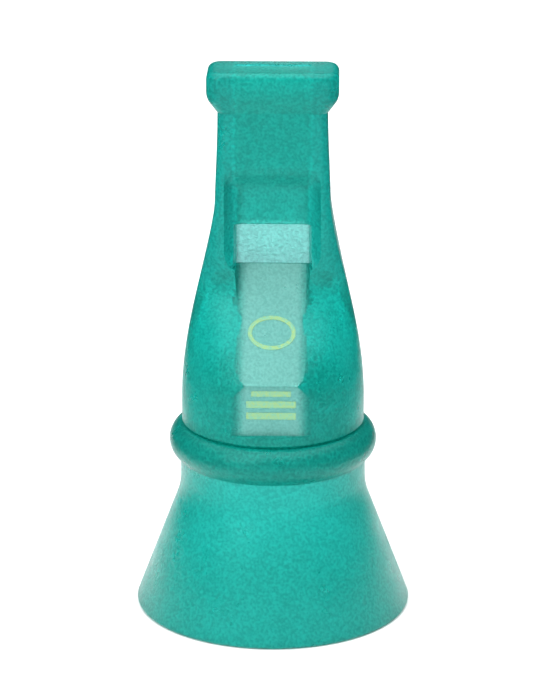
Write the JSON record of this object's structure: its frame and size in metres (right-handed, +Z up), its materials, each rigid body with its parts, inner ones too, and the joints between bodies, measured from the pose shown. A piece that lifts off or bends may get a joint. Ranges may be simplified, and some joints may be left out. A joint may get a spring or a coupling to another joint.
{
  "type": "whistle duck call",
  "caption": "Whistle-type duck call: flat mouthpiece with a windway, barrel with an open window and a loose ball, and a flared bell that pulls off.",
  "frame": {"origin": "centre of the bell's open mouth, on the surface that the call stands on", "axes": "+Z up along the call's axis from the bell to the mouthpiece, -Y the side with the window and the label flat, +X to the right seen from that side"},
  "size_m": [0.04, 0.04, 0.08],
  "materials": {
    "bell_plastic": "frosted translucent teal",
    "barrel_plastic": "frosted translucent teal",
    "mouthpiece_plastic": "frosted translucent teal",
    "stop_plastic": "frosted translucent teal",
    "ball_cork": "natural cork",
    "ring_rubber": "clear silicone"
  },
  "bodies": {
    "bell": {"bell": "bell_plastic", "ball_stop": "stop_plastic", "lower_o_ring": "ring_rubber", "upper_o_ring": "ring_rubber"},
    "barrel": {"barrel": "barrel_plastic", "mouthpiece": "mouthpiece_plastic"},
    "ball": {"ball": "ball_cork"}
  },
  "joints": [
    {"name": "barrel_pull", "type": "slide", "parent": "bell", "child": "barrel", "axis": [0, 0, 1], "range_m": [0, 0.012]},
    {"name": "ball_lift", "type": "slide", "parent": "bell", "child": "ball", "axis": [0, 0, 1], "range_m": [0, 0.0165]}
  ]
}
